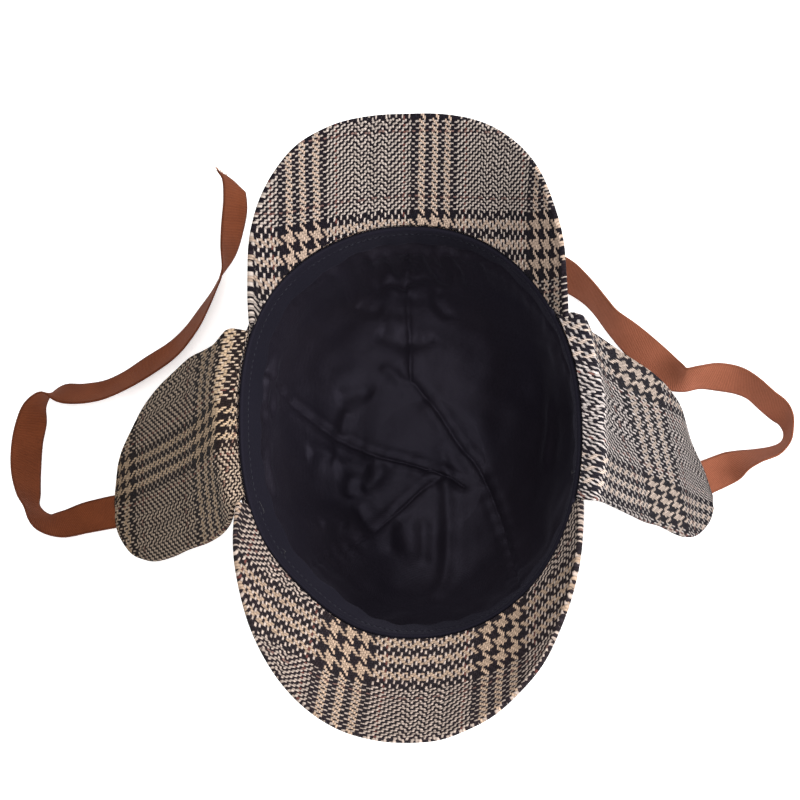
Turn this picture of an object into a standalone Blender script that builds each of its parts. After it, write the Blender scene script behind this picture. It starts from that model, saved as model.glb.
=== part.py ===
"""Deerstalker hat lying on its crown with the opening up and the ear flaps spread.

Metres, +Z up. The front peak points to -Y and the wearer's right ear is at +X.
"""
import math

import bmesh
import bpy
import numpy as np

# Rim's middle in the finished frame, which puts the middle of the hat without its ties at x = y = 0
RIM_MIDDLE = (0.0110, -0.0003, 0.0)

# Rim and crown
RIM_HALF_WIDTH = 0.0835
RIM_HALF_LENGTH = 0.1010
RIM_SQUARENESS = 2.2
RIM_SIDE_STEPS = 160
RIM_HEIGHT = 0.115
CROWN_WALL = 0.0022
LINING_WALL = 0.0010
GAP = 0.0003
AROUND = 56
GORES = 8
GORE_SEAM_DIP = 0.010

# Creases of the lining fade out at the sweatband: height shares of the rim
CREASE_TOP = 0.840
CREASE_FADE = 0.050

# Sweatband
BAND_WALL = 0.0012
BAND_ROLL = 0.0026
BAND_DEPTH = 0.018
BAND_LEAN = 0.0036
BAND_LEAN_SWING = 0.0034
BAND_LEAN_SIDE = math.radians(225)

# Peaks
PEAK_WALL = 0.0030
PEAK_ROOT_OFFSET = 0.0020
PEAK_STEPS_ACROSS = 26
PEAK_STEPS_OUT = 6

# Ear flaps
FLAP_WALL = 0.0032
FLAP_REACH = 0.090
FLAP_HALF_ROOT = 0.050
FLAP_STEPS_ACROSS = 12
FLAP_STEPS_PER_ROW = 2

# Ties
TIE_WIDTH = 0.0185
TIE_WALL = 0.0010
TIE_STEP = 0.0060

# Crown profile from the rim down to the flattened top.
# height: share of the rim height; reach: share of the crown's half width
CROWN_PROFILE = (
    (1.000, 1.000),
    (0.920, 1.006),
    (0.845, 1.008),
    (0.780, 1.006),
    (0.640, 0.985),
    (0.500, 0.945),
    (0.360, 0.878),
    (0.235, 0.785),
    (0.130, 0.665),
    (0.050, 0.520),
    (0.000, 0.370),
    (0.000, 0.190),
)

# Where the soft rim stands out or in: bearing and half width in degrees, share of the half width
RIM_BULGES = (
    (92, 32, 0.030),
    (145, 30, 0.062),
    (232, 22, -0.045),
)

# Soft waves of the crown's wall: waves round the crown, depth share, phase in degrees
CROWN_WAVES = (
    (3, 0.012, 65),
    (5, 0.007, 20),
)

# Lining creases: bearing in degrees, height share of the rim, half width in degrees,
# half height share of the rim, depth in metres
LINING_CREASES = (
    (72, 0.84, 5, 0.14, 0.0050),
    (83, 0.80, 4, 0.16, 0.0060),
    (93, 0.82, 4, 0.14, 0.0055),
    (104, 0.80, 5, 0.15, 0.0050),
    (118, 0.62, 8, 0.16, 0.0045),
    (150, 0.50, 7, 0.20, 0.0050),
    (176, 0.55, 6, 0.26, 0.0045),
    (205, 0.40, 8, 0.20, 0.0050),
    (232, 0.45, 7, 0.22, 0.0045),
    (262, 0.50, 7, 0.24, 0.0040),
    (300, 0.55, 8, 0.24, 0.0035),
    (340, 0.55, 7, 0.24, 0.0035),
    (20, 0.60, 8, 0.22, 0.0035),
)

# Peaks. root: bearings in degrees where the peak's root starts and ends;
# half width, near and tip: the free edge's half width and its first and last y in metres;
# squareness: of the free edge's curve; rise: height of the free edge over the rim in metres;
# end rise: share of the rise at the root's ends; belly: bulge of the peak in metres
PEAKS = {
    "rear_peak": {
        "root": (34.0, 150.0),
        "half_width": 0.0772,
        "middle": 0.0002,
        "near": 0.0540,
        "tip": 0.1500,
        "squareness": 2.7,
        "rise": 0.034,
        "end_rise": 0.20,
        "belly": 0.0022,
    },
    "front_peak": {
        "root": (201.0, 340.5),
        "half_width": 0.0832,
        "middle": -0.0004,
        "near": -0.0400,
        "tip": -0.1495,
        "squareness": 2.15,
        "rise": 0.025,
        "end_rise": 0.20,
        "belly": 0.0026,
    },
}

# Ear flaps, a row per station from the rim to the tip.
# rear out and front out: how far the row's ends stand off the rim, shares of the reach;
# rear and front: y of the row's ends, shares of the half root;
# rear height and front height: shares of the rim height;
# follow: share of the rim's curve that the row keeps;
# arch: how far the row's middle stands over its ends, share of the reach
LEFT_FLAP = (
    (0.024, 1.04, 0.024, -0.63, 1.017, 1.017, 1.00, 0.000),
    (0.106, 1.06, 0.068, -0.74, 1.035, 1.035, 0.96, 0.000),
    (0.132, 1.02, 0.106, -0.84, 1.026, 1.017, 0.90, 0.004),
    (0.183, 0.95, 0.145, -0.90, 0.974, 0.948, 0.80, 0.010),
    (0.261, 0.94, 0.210, -0.95, 0.878, 0.835, 0.66, 0.018),
    (0.384, 0.92, 0.314, -0.98, 0.748, 0.678, 0.50, 0.026),
    (0.523, 0.83, 0.451, -1.00, 0.609, 0.522, 0.36, 0.032),
    (0.665, 0.71, 0.588, -1.04, 0.461, 0.374, 0.22, 0.034),
    (0.780, 0.56, 0.708, -1.05, 0.339, 0.261, 0.12, 0.032),
    (0.894, 0.33, 0.798, -1.01, 0.226, 0.183, 0.05, 0.024),
    (0.967, 0.10, 0.882, -0.93, 0.148, 0.130, 0.00, 0.014),
    (0.999, -0.16, 0.962, -0.74, 0.104, 0.100, 0.00, 0.006),
    (1.004, -0.37, 0.999, -0.52, 0.087, 0.087, 0.00, 0.002),
)
RIGHT_FLAP = (
    (0.024, 1.08, 0.024, -0.70, 1.017, 1.017, 1.00, 0.000),
    (0.105, 1.08, 0.074, -0.72, 1.035, 1.035, 0.96, 0.000),
    (0.118, 1.05, 0.106, -0.72, 1.026, 1.017, 0.90, 0.004),
    (0.117, 0.98, 0.144, -0.72, 0.974, 0.957, 0.80, 0.008),
    (0.149, 0.96, 0.194, -0.74, 0.896, 0.878, 0.66, 0.014),
    (0.249, 0.87, 0.284, -0.78, 0.774, 0.748, 0.50, 0.026),
    (0.345, 0.82, 0.364, -0.81, 0.626, 0.609, 0.36, 0.038),
    (0.423, 0.76, 0.440, -0.81, 0.504, 0.478, 0.22, 0.042),
    (0.501, 0.66, 0.521, -0.85, 0.391, 0.348, 0.12, 0.040),
    (0.570, 0.51, 0.579, -0.86, 0.296, 0.252, 0.05, 0.032),
    (0.629, 0.20, 0.652, -0.82, 0.183, 0.165, 0.00, 0.020),
    (0.705, -0.10, 0.729, -0.68, 0.113, 0.113, 0.00, 0.008),
    (0.760, -0.38, 0.764, -0.51, 0.087, 0.087, 0.00, 0.002),
)
# Tie routes along the tape's middle: x and y in metres, lift over the floor in metres,
# lean in degrees of the tape's width from flat, positive with the left edge up
LEFT_TIE = (
    (-0.1630, -0.0215, 0.0110, 0),
    (-0.1695, -0.0212, 0.0068, 0),
    (-0.1765, -0.0215, 0.0034, 3),
    (-0.1850, -0.0228, 0.0010, 8),
    (-0.1935, -0.0245, 0.0000, 12),
    (-0.2053, -0.0280, 0.0000, 27),
    (-0.2159, -0.0269, 0.0000, 45),
    (-0.2227, -0.0188, 0.0000, 64),
    (-0.2255, -0.0102, 0.0000, 60),
    (-0.2278, 0.0037, 0.0000, 44),
    (-0.2277, 0.0186, 0.0000, 42),
    (-0.2252, 0.0312, 0.0000, 45),
    (-0.2219, 0.0400, 0.0000, 74),
    (-0.2165, 0.0455, 0.0000, 98),
    (-0.2087, 0.0462, 0.0000, 120),
    (-0.1979, 0.0456, 0.0000, 123),
    (-0.1847, 0.0473, 0.0000, 124),
    (-0.1723, 0.0526, 0.0000, 129),
    (-0.1594, 0.0605, 0.0000, 134),
    (-0.1458, 0.0696, 0.0000, 132),
    (-0.1354, 0.0807, 0.0000, 117),
    (-0.1275, 0.0931, 0.0000, 104),
    (-0.1219, 0.1034, 0.0000, 97),
    (-0.1181, 0.1127, 0.0000, 90),
    (-0.1144, 0.1268, 0.0000, 74),
    (-0.1123, 0.1419, 0.0000, 61),
    (-0.1112, 0.1551, 0.0000, 55),
    (-0.1127, 0.1676, 0.0000, 60),
    (-0.1168, 0.1745, 0.0000, 63),
)
RIGHT_TIE = (
    (0.1395, -0.0125, 0.0120, 0),
    (0.1450, -0.0100, 0.0070, 0),
    (0.1510, -0.0070, 0.0030, -3),
    (0.1580, -0.0040, 0.0010, -10),
    (0.1635, -0.0018, 0.0000, -20),
    (0.1690, 0.0005, 0.0000, -44),
    (0.1770, 0.0028, 0.0000, -60),
    (0.1860, 0.0052, 0.0000, -66),
    (0.1922, 0.0098, 0.0000, -76),
    (0.1942, 0.0160, 0.0000, -80),
    (0.1930, 0.0228, 0.0000, -71),
    (0.1892, 0.0280, 0.0000, -60),
    (0.1833, 0.0332, 0.0000, -60),
    (0.1761, 0.0402, 0.0000, -58),
    (0.1678, 0.0450, 0.0000, -50),
    (0.1577, 0.0470, 0.0000, -50),
    (0.1480, 0.0467, 0.0000, -60),
    (0.1393, 0.0455, 0.0000, -56),
    (0.1326, 0.0492, 0.0000, -34),
    (0.1242, 0.0574, 0.0000, -25),
    (0.1119, 0.0692, 0.0000, -37),
    (0.1012, 0.0795, 0.0000, -60),
    (0.0954, 0.0872, 0.0000, -65),
    (0.0892, 0.0950, 0.0000, -60),
    (0.0812, 0.1030, 0.0000, -45),
    (0.0730, 0.1095, 0.0000, -24),
    (0.0610, 0.1165, 0.0000, -8),
    (0.0450, 0.1215, 0.0000, 0),
    (0.0280, 0.1235, 0.0000, 0),
    (0.0110, 0.1225, 0.0000, 0),
    (-0.0060, 0.1195, 0.0000, 0),
)

# Colour and roughness of each piece
LOOKS = {
    "crown": ((0.30, 0.25, 0.21), 0.95),
    "lining": ((0.016, 0.017, 0.023), 0.75),
    "sweatband": ((0.014, 0.015, 0.021), 0.80),
    "rear_peak": ((0.33, 0.27, 0.23), 0.95),
    "front_peak": ((0.33, 0.27, 0.23), 0.95),
    "left_ear_flap": ((0.22, 0.18, 0.15), 0.95),
    "right_ear_flap": ((0.30, 0.28, 0.27), 0.95),
    "left_tie": ((0.22, 0.07, 0.03), 0.85),
    "right_tie": ((0.30, 0.10, 0.05), 0.85),
}


def signed_power(value, power):
    """Power of a value's size with its sign kept."""
    return math.copysign(abs(value) ** power, value)


def rim_point(bearing, outward):
    """Point in plan on the rim's oval grown outward, the bearing in radians."""
    power = 2.0 / RIM_SQUARENESS
    bulge = 1.0
    for middle, half_width, amount in RIM_BULGES:
        turn = (math.degrees(bearing) - middle + 180) % 360 - 180
        bulge += amount * math.exp(-(turn / half_width) ** 2)
    x = (RIM_HALF_WIDTH * bulge + outward) * signed_power(math.cos(bearing), power)
    y = (RIM_HALF_LENGTH * bulge + outward) * signed_power(math.sin(bearing), power)
    return x, y


def rim_x(y, side):
    """Distance of the rim from the middle at a y; side is +1 for the wearer's right."""
    middle = 0.0 if side > 0 else math.pi
    bearings = np.linspace(-1.3, 1.3, RIM_SIDE_STEPS) * side + middle
    line = np.array([rim_point(bearing, 0.0) for bearing in bearings])
    return float(np.interp(y, line[:, 1], np.abs(line[:, 0])))


def shell_point(bearing, height, reach, inset):
    """Point of the crown's cup at a depth inset inside its outer face."""
    outer = GAP + CROWN_WALL - inset
    x, y = rim_point(bearing, outer)
    fade = math.sin(math.pi * min(height / 0.92, 1.0)) ** 0.7 if height > 0 else 0.0
    seam = 1 - abs(math.sin(bearing * GORES / 2)) ** 0.5
    wave = 0.0
    for count, depth, phase in CROWN_WAVES:
        wave += depth * math.sin(count * bearing + math.radians(phase))
    share = reach * (1 + fade * (wave - GORE_SEAM_DIP * seam))
    return x * share, y * share, inset + (RIM_HEIGHT - inset) * height


def ring_mesh(rings, closed):
    """Vertices and faces of rings stacked one after another, open ends fanned to their middles."""
    count = len(rings[0])
    verts = [point for ring in rings for point in ring]
    faces = []
    pairs = len(rings) if closed else len(rings) - 1
    for level in range(pairs):
        low = level * count
        high = ((level + 1) % len(rings)) * count
        for step in range(count):
            after = (step + 1) % count
            faces.append((low + step, low + after, high + after, high + step))
    if not closed:
        for ring_start, ring in ((0, rings[0]), ((len(rings) - 1) * count, rings[-1])):
            middle = tuple(np.mean(np.array(ring), axis=0))
            verts.append(middle)
            for step in range(count):
                after = (step + 1) % count
                faces.append((ring_start + step, ring_start + after, len(verts) - 1))
    return verts, faces


def catmull(rows, per_row):
    """Smooth curve through rows of numbers, per_row steps between neighbours."""
    rows = np.array(rows, dtype=float)
    first = 2 * rows[0] - rows[1]
    last = 2 * rows[-1] - rows[-2]
    padded = np.vstack([first, rows, last])
    result = []
    for index in range(1, len(padded) - 2):
        before, start, end, after = padded[index - 1:index + 3]
        for step in range(per_row):
            t = step / per_row
            result.append(
                0.5 * (
                    2 * start
                    + (end - before) * t
                    + (2 * before - 5 * start + 4 * end - after) * t * t
                    + (3 * start - before - 3 * end + after) * t ** 3
                )
            )
    result.append(rows[-1])
    return np.array(result)


def even_points(points, count):
    """Points at even distances along a polyline."""
    points = np.array(points, dtype=float)
    steps = np.linalg.norm(np.diff(points, axis=0), axis=1)
    run = np.concatenate([[0], np.cumsum(steps)])
    targets = np.linspace(0, run[-1], count)
    columns = [np.interp(targets, run, points[:, axis]) for axis in range(points.shape[1])]
    return np.stack(columns, axis=1)


def grid_normals(grid):
    """Unit normals of a grid of points."""
    along = np.gradient(grid, axis=0)
    across = np.gradient(grid, axis=1)
    normals = np.cross(along, across)
    return normals / np.linalg.norm(normals, axis=2, keepdims=True)


def slab(grid, wall, thin_edge):
    """Closed sheet of a wall's thickness about a grid; its free edges taper to a rounded lip."""
    normals = grid_normals(grid)
    rows, columns = grid.shape[:2]
    half = np.full((rows, columns), wall / 2)
    half[-1, :] *= thin_edge
    half[:, 0] *= thin_edge
    half[:, -1] *= thin_edge
    top = grid + normals * half[:, :, None]
    low = grid - normals * half[:, :, None]
    verts = [tuple(point) for point in top.reshape(-1, 3)]
    verts += [tuple(point) for point in low.reshape(-1, 3)]
    size = rows * columns
    faces = []
    for row in range(rows - 1):
        for column in range(columns - 1):
            corner = row * columns + column
            near = (corner, corner + 1, corner + columns + 1, corner + columns)
            faces.append(near)
            faces.append(tuple(size + index for index in reversed(near)))
    border = [column for column in range(columns)]
    border += [row * columns + columns - 1 for row in range(1, rows)]
    border += [(rows - 1) * columns + column for column in range(columns - 2, -1, -1)]
    border += [row * columns for row in range(rows - 2, 0, -1)]
    for index, start in enumerate(border):
        end = border[(index + 1) % len(border)]
        faces.append((start, start + size, end + size, end))
    return verts, faces


def add_piece(name, verts, faces, smooth):
    """One named object with its own material, all faces turned outward."""
    mesh = bpy.data.meshes.new(name)
    placed = np.array(verts, dtype=float) + np.array(RIM_MIDDLE)
    mesh.from_pydata(placed.tolist(), [], faces)
    piece = bpy.data.objects.new(name, mesh)
    bpy.context.scene.collection.objects.link(piece)
    work = bmesh.new()
    work.from_mesh(mesh)
    bmesh.ops.triangulate(work, faces=[face for face in work.faces if len(face.verts) == 4])
    bmesh.ops.recalc_face_normals(work, faces=work.faces)
    if work.calc_volume(signed=True) < 0:
        bmesh.ops.reverse_faces(work, faces=work.faces)
    work.to_mesh(mesh)
    work.free()
    for polygon in mesh.polygons:
        polygon.use_smooth = smooth
    colour, roughness = LOOKS[name]
    material = bpy.data.materials.new(name)
    material.use_nodes = True
    shader = material.node_tree.nodes["Principled BSDF"]
    shader.inputs["Base Color"].default_value = (*colour, 1.0)
    shader.inputs["Roughness"].default_value = roughness
    mesh.materials.append(material)
    return piece


def cup(name, inset, wall, top_height, creases):
    """Crown-shaped cup between two insets, its mouth at the top height share."""
    bearings = [2 * math.pi * step / AROUND for step in range(AROUND)]
    profile = [row for row in CROWN_PROFILE if row[0] < top_height]
    profile.insert(0, (top_height, CROWN_PROFILE[0][1]))
    outside = [
        [shell_point(bearing, height, reach, inset) for bearing in bearings]
        for height, reach in reversed(profile)
    ]
    inside = []
    for height, reach in profile:
        ring = []
        for bearing in bearings:
            point = np.array(shell_point(bearing, height, reach, inset + wall))
            push = crease_depth(bearing, height, creases)
            flat = math.hypot(point[0], point[1])
            point[:2] *= 1 - push / flat
            ring.append(tuple(point))
        inside.append(ring)
    verts, faces = ring_mesh(outside + inside, closed=False)
    return add_piece(name, verts, faces, smooth=True)


def crease_depth(bearing, height, creases):
    """Inward depth of the creases at a bearing and height share."""
    depth = 0.0
    under_band = min(max((CREASE_TOP - height) / CREASE_FADE, 0.0), 1.0)
    for middle, level, half_width, half_height, full in creases:
        turn = (math.degrees(bearing) - middle + 180) % 360 - 180
        depth += full * math.exp(-(turn / half_width) ** 2 - ((height - level) / half_height) ** 2)
    return depth * under_band


def build_crown():
    """Tweed shell of the crown."""
    return cup("crown", 0.0, CROWN_WALL, 1.0, ())


def build_lining():
    """Lining just inside the crown, thickened inward where it is creased."""
    inset = CROWN_WALL + GAP
    top = 1.0 - (BAND_WALL + GAP) / RIM_HEIGHT
    return cup("lining", inset, LINING_WALL, top, LINING_CREASES)


def build_sweatband():
    """Band round the rim with a rolled top, leaning inward most at the front left."""
    bearings = [2 * math.pi * step / AROUND for step in range(AROUND)]
    face = LINING_WALL + GAP
    rings = []
    section = (
        (0.0, -BAND_WALL * 0.9, 0),
        (0.0, BAND_WALL * 0.4, 0),
        (BAND_ROLL * 0.3, BAND_WALL, 0),
        (BAND_ROLL * 0.65, BAND_WALL, 0),
        (face + BAND_WALL, BAND_WALL * 0.3, 0),
        (face + BAND_WALL, -BAND_DEPTH, 1),
        (face, -BAND_DEPTH, 1),
        (face, -BAND_WALL * 0.9, 0),
    )
    for inward, height, lean in section:
        ring = []
        for bearing in bearings:
            swing = BAND_LEAN + BAND_LEAN_SWING * math.cos(bearing - BAND_LEAN_SIDE)
            x, y = rim_point(bearing, -inward - lean * swing)
            ring.append((x, y, RIM_HEIGHT + height))
        rings.append(ring)
    verts, faces = ring_mesh(rings, closed=True)
    return add_piece("sweatband", verts, faces, smooth=True)


def build_peak(name, shape):
    """Stiff peak from its root on the rim to a curved free edge."""
    first, last = (math.radians(angle) for angle in shape["root"])
    fine = [first + (last - first) * step / 200 for step in range(201)]
    root = even_points([rim_point(bearing, PEAK_ROOT_OFFSET) for bearing in fine], PEAK_STEPS_ACROSS + 1)
    power = 2.0 / shape["squareness"]
    depth = shape["tip"] - shape["near"]
    turn = 1 if depth > 0 else -1
    edge = []
    for step in range(201):
        angle = math.pi * step / 200
        x = shape["middle"] + turn * shape["half_width"] * signed_power(math.cos(angle), power)
        y = shape["near"] + depth * signed_power(math.sin(angle), power)
        edge.append((x, y))
    edge = even_points(edge, PEAK_STEPS_ACROSS + 1)
    grid = np.zeros((PEAK_STEPS_OUT + 1, PEAK_STEPS_ACROSS + 1, 3))
    for across in range(PEAK_STEPS_ACROSS + 1):
        side = abs(2 * across / PEAK_STEPS_ACROSS - 1)
        rise = shape["rise"] * (1 - (1 - shape["end_rise"]) * side ** 5)
        for out in range(PEAK_STEPS_OUT + 1):
            share = out / PEAK_STEPS_OUT
            plan = root[across] * (1 - share) + edge[across] * share
            belly = shape["belly"] * math.sin(math.pi * share) * (1 - side ** 2)
            grid[out, across, :2] = plan
            grid[out, across, 2] = RIM_HEIGHT + rise * share - belly
    tilt = np.abs(grid_normals(grid)[0, :, 2])
    root_lift = GAP + PEAK_WALL / 2 * tilt
    grid[:, :, 2] += root_lift[None, :]
    verts, faces = slab(grid, PEAK_WALL, 0.75)
    return add_piece(name, verts, faces, smooth=True)


def build_flap(name, rows, side):
    """Soft flap rolled over the rim; side is +1 for the wearer's right."""
    smooth_rows = catmull(rows, FLAP_STEPS_PER_ROW)
    grid = np.zeros((len(smooth_rows), FLAP_STEPS_ACROSS + 1, 3))
    for index, row in enumerate(smooth_rows):
        rear_out, rear, front_out, front, rear_height, front_height, follow, arch = row
        for across in range(FLAP_STEPS_ACROSS + 1):
            share = across / FLAP_STEPS_ACROSS
            y = FLAP_HALF_ROOT * (rear + (front - rear) * share)
            start = rim_x(y, side) * follow + RIM_HALF_WIDTH * (1 - follow)
            out = rear_out + (front_out - rear_out) * share
            height = rear_height + (front_height - rear_height) * share
            swell = arch * math.sin(math.pi * share)
            z = RIM_HEIGHT * height + FLAP_REACH * swell
            grid[index, across] = (side * (start + out * FLAP_REACH), y, z)
    verts, faces = slab(grid, FLAP_WALL, 0.75)
    return add_piece(name, verts, faces, smooth=True)


def build_tie(name, route):
    """Flat tape swept along its route, its lower edge on the floor."""
    fine = catmull(route, 8)
    run = float(np.sum(np.linalg.norm(np.diff(fine[:, :2], axis=0), axis=1)))
    steps = even_points(fine, int(run / TIE_STEP) + 1)
    plan = steps[:, :2]
    heading = np.gradient(plan, axis=0)
    heading /= np.linalg.norm(heading, axis=1, keepdims=True)
    rings = []
    for (x, y, lift, lean), (east, north) in zip(steps, heading):
        lean = math.radians(lean)
        left = np.array((-north, east, 0.0))
        width = left * math.cos(lean) + np.array((0, 0, math.sin(lean)))
        face = np.cross((east, north, 0.0), width)
        stand = TIE_WIDTH / 2 * abs(math.sin(lean)) + TIE_WALL / 2 * abs(math.cos(lean))
        middle = np.array((x, y, GAP + stand + lift))
        half = width * TIE_WIDTH / 2
        thick = face * TIE_WALL / 2
        rings.append([
            tuple(middle + half + thick),
            tuple(middle + thick),
            tuple(middle - half + thick),
            tuple(middle - half - thick),
            tuple(middle - thick),
            tuple(middle + half - thick),
        ])
    verts, faces = ring_mesh(rings, closed=False)
    return add_piece(name, verts, faces, smooth=False)


def build():
    """Clear the file and build every piece."""
    for item in list(bpy.data.objects):
        bpy.data.objects.remove(item, do_unlink=True)
    build_crown()
    build_lining()
    build_sweatband()
    for name, shape in PEAKS.items():
        build_peak(name, shape)
    build_flap("left_ear_flap", LEFT_FLAP, -1)
    build_flap("right_ear_flap", RIGHT_FLAP, 1)
    build_tie("left_tie", LEFT_TIE)
    build_tie("right_tie", RIGHT_TIE)


build()
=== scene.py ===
"""Looks of a deerstalker hat lying on its crown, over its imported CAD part.

Metres, +Z up. The front peak points to -Y and the wearer's right ear is at +X.
"""
import math

import bpy
import numpy as np
from mathutils import Matrix, Vector


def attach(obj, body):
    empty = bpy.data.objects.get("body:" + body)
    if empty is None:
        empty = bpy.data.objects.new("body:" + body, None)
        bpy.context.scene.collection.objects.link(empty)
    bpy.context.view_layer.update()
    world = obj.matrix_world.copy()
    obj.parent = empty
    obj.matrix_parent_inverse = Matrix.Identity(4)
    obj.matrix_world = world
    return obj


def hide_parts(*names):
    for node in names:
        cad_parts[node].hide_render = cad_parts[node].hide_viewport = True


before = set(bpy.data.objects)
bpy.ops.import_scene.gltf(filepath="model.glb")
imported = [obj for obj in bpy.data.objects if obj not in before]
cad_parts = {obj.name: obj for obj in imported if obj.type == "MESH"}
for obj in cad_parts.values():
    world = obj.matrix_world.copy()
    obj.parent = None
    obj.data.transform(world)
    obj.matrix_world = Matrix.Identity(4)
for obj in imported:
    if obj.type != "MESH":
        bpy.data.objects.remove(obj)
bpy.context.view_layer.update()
scene = bpy.context.scene

# Rim's middle in the frame. Shapes below are written about the rim's middle.
RIM_MIDDLE = np.array((0.0110, -0.0003, 0.0))

# Camera that gives the photo's view: place, aim and lens
CAMERA_PLACE = (0.0831, -0.1579, 0.9461)
CAMERA_AIM = (-0.0049, 0.0156, 0.1150)
CAMERA_LENS = 78.38

# Sizes of the CAD part
RIM_HALF_WIDTH = 0.0835
RIM_HALF_LENGTH = 0.1010
RIM_SQUARENESS = 2.2
RIM_HEIGHT = 0.115
CROWN_WALL = 0.0022
LINING_WALL = 0.0010
GAP = 0.0003
GORES = 8
GORE_SEAM_DIP = 0.010
CREASE_TOP = 0.840
CREASE_FADE = 0.120
BAND_WALL = 0.0012
BAND_LEAN = 0.0036
BAND_LEAN_SWING = 0.0034
BAND_LEAN_SIDE = math.radians(225)
PEAK_WALL = 0.0030
PEAK_ROOT_OFFSET = 0.0006
FLAP_WALL = 0.0032
FLAP_REACH = 0.090
FLAP_HALF_ROOT = 0.050
TIE_WIDTH = 0.0185
TIE_WALL = 0.0010

# Where the soft rim stands out or in: bearing and half width in degrees, share of the half width
RIM_BULGES = ((92, 32, 0.030), (145, 30, 0.062), (232, 22, -0.045))

# Crown profile from the rim down: share of the rim height, share of the crown's half width
CROWN_PROFILE = (
    (1.000, 1.000), (0.920, 1.006), (0.845, 1.008), (0.780, 1.006), (0.640, 0.985), (0.500, 0.945),
    (0.360, 0.878), (0.235, 0.785), (0.130, 0.665), (0.050, 0.520), (0.000, 0.370), (0.000, 0.190),
)

# Soft waves of the crown's wall: waves round the crown, depth share, phase in degrees
CROWN_WAVES = ((3, 0.012, 65), (5, 0.007, 20))

# Broad lining creases: bearing in degrees, height share, half width in degrees, half height,
# depth in metres
LINING_CREASES = (
    (72, 0.84, 5, 0.14, 0.0050), (83, 0.80, 4, 0.16, 0.0060), (93, 0.82, 4, 0.14, 0.0055),
    (104, 0.80, 5, 0.15, 0.0050), (118, 0.62, 8, 0.16, 0.0045), (150, 0.50, 7, 0.20, 0.0050),
    (176, 0.55, 6, 0.26, 0.0045), (205, 0.40, 8, 0.20, 0.0050), (232, 0.45, 7, 0.22, 0.0045),
    (262, 0.50, 7, 0.24, 0.0040), (300, 0.55, 8, 0.24, 0.0035), (340, 0.55, 7, 0.24, 0.0035),
    (20, 0.60, 8, 0.22, 0.0035),
)

PEAKS = {
    "rear_peak": {
        "root": (34.0, 151.5), "half_width": 0.0772, "middle": 0.0002, "near": (0.0528, 0.0518), "tip": 0.1500,
        "squareness": 2.7, "rise": 0.034, "end_rise": 0.26, "belly": 0.0022,
    },
    "front_peak": {
        "root": (198.0, 341.0), "half_width": 0.0832, "middle": -0.0004, "near": (-0.0345, -0.0362), "tip": -0.1495,
        "squareness": 2.15, "rise": 0.025, "end_rise": 0.24, "belly": 0.0026,
    },
}

# Ear flaps, a row per station from the rim to the tip: rear out, rear, front out, front,
# rear height, front height, follow, arch, as in the CAD part, in thousandths
LEFT_FLAP = (
    (8, 1040, 8, -630, 1017, 1017, 1000, 0),
    (106, 1060, 68, -740, 1035, 1035, 960, 0),
    (132, 1020, 106, -840, 1026, 1017, 900, 4),
    (183, 950, 145, -900, 974, 948, 800, 10),
    (261, 940, 210, -950, 878, 835, 660, 18),
    (384, 920, 314, -980, 748, 678, 500, 26),
    (523, 830, 451, -1000, 609, 522, 360, 32),
    (665, 710, 588, -1040, 461, 374, 220, 34),
    (780, 560, 708, -1050, 339, 261, 120, 32),
    (894, 330, 798, -1010, 226, 183, 50, 24),
    (967, 100, 882, -930, 148, 130, 0, 14),
    (999, -160, 962, -740, 104, 100, 0, 6),
    (1004, -370, 999, -520, 87, 87, 0, 2),
)
RIGHT_FLAP = (
    (8, 1130, 8, -700, 1017, 1017, 1000, 0),
    (95, 1130, 74, -720, 1035, 1035, 960, 0),
    (112, 1080, 106, -720, 1026, 1017, 900, 4),
    (117, 980, 144, -720, 974, 957, 800, 8),
    (149, 960, 194, -740, 896, 878, 660, 14),
    (249, 870, 284, -780, 774, 748, 500, 26),
    (345, 820, 364, -810, 626, 609, 360, 38),
    (423, 760, 440, -810, 504, 478, 220, 42),
    (501, 660, 521, -850, 391, 348, 120, 40),
    (570, 510, 579, -860, 296, 252, 50, 32),
    (629, 200, 652, -820, 183, 165, 0, 20),
    (705, -100, 729, -680, 113, 113, 0, 8),
    (760, -380, 764, -510, 87, 87, 0, 2),
)

# Tie routes along the tape's middle: x, y and lift over the floor in tenths of a millimetre,
# lean in degrees of the tape's width from flat, positive with the left edge up
LEFT_TIE = (
    (-1630, -215, 110, 0), (-1695, -212, 68, 0), (-1765, -215, 34, 3),
    (-1850, -228, 10, 8), (-1935, -245, 0, 12), (-2053, -280, 0, 27),
    (-2159, -269, 0, 56), (-2227, -188, 0, 78), (-2255, -102, 0, 60),
    (-2278, 37, 0, 44), (-2277, 186, 0, 42), (-2252, 312, 0, 45),
    (-2219, 400, 0, 74), (-2165, 455, 0, 98), (-2087, 462, 0, 134),
    (-1979, 456, 0, 137), (-1847, 473, 0, 137), (-1723, 526, 0, 138),
    (-1594, 605, 0, 139), (-1458, 696, 0, 137), (-1354, 807, 0, 128),
    (-1275, 931, 0, 120), (-1219, 1034, 0, 113), (-1181, 1127, 0, 106),
    (-1144, 1268, 0, 74), (-1123, 1419, 0, 61), (-1112, 1551, 0, 55),
    (-1127, 1676, 0, 60), (-1168, 1745, 0, 63),
)
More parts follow.
